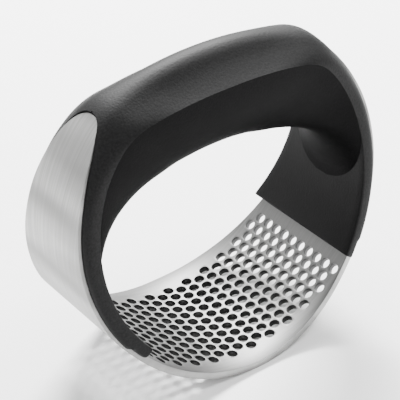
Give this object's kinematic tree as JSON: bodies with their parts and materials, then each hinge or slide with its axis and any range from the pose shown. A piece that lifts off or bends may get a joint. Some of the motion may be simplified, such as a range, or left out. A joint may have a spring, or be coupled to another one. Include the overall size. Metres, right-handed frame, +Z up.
{
  "type": "garlic press",
  "caption": "Rocker-style garlic press: a curved perforated steel band with a moulded black arch handle that the hand passes through.",
  "frame": {"origin": "centre of the bounding box's base, on the lowest line of the rocker", "axes": "+X along the ring from one leg to the other, +Y from front to back across the ring, +Z up from the rocker to the grip"},
  "size_m": [0.0982, 0.048, 0.0885],
  "materials": {
    "satin_steel": "brushed along the tongues, satin on the rocker",
    "black_moulding": "fine matte texture",
    "black_grip": "fine matte texture"
  },
  "bodies": {
    "root": {"rocker_band": "satin_steel", "handle_shell": "black_moulding", "grip_insert": "black_grip"}
  },
  "joints": []
}
